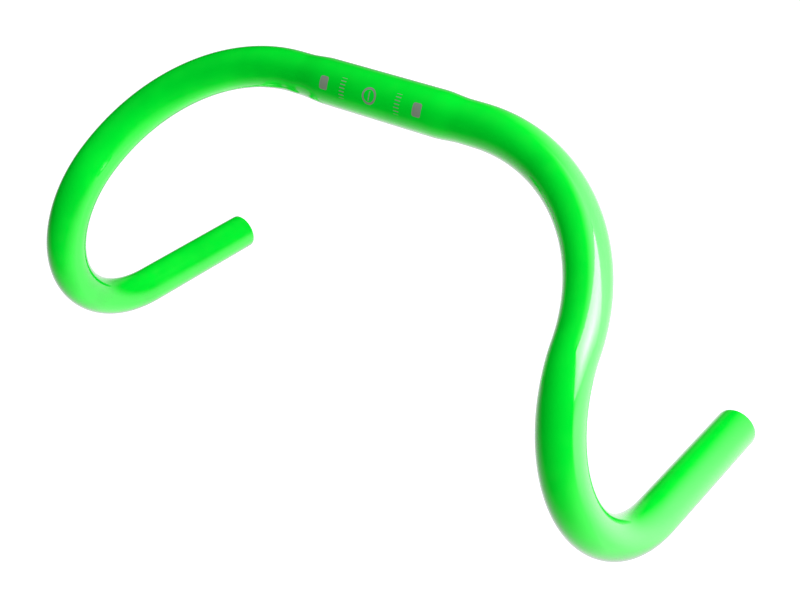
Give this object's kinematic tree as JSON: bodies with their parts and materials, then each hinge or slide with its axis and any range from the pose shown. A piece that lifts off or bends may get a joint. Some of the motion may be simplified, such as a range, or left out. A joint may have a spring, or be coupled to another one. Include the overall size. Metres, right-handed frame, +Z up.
{
  "type": "track drop handlebar",
  "caption": "Drop handlebar for a track bicycle: a painted alloy tube, wider where the stem clamps it, swept forward and down into hooks that turn back to straight, open-ended grips.",
  "frame": {"origin": "middle of the stem clamp, on the tube's axis", "axes": "+X along the clamp towards the rider's left, +Y back towards the rider and along the grips, +Z up"},
  "size_m": [0.4136, 0.1699, 0.2004],
  "materials": {
    "green_paint": "gloss"
  },
  "bodies": {
    "root": {"handlebar": "green_paint"}
  },
  "joints": []
}
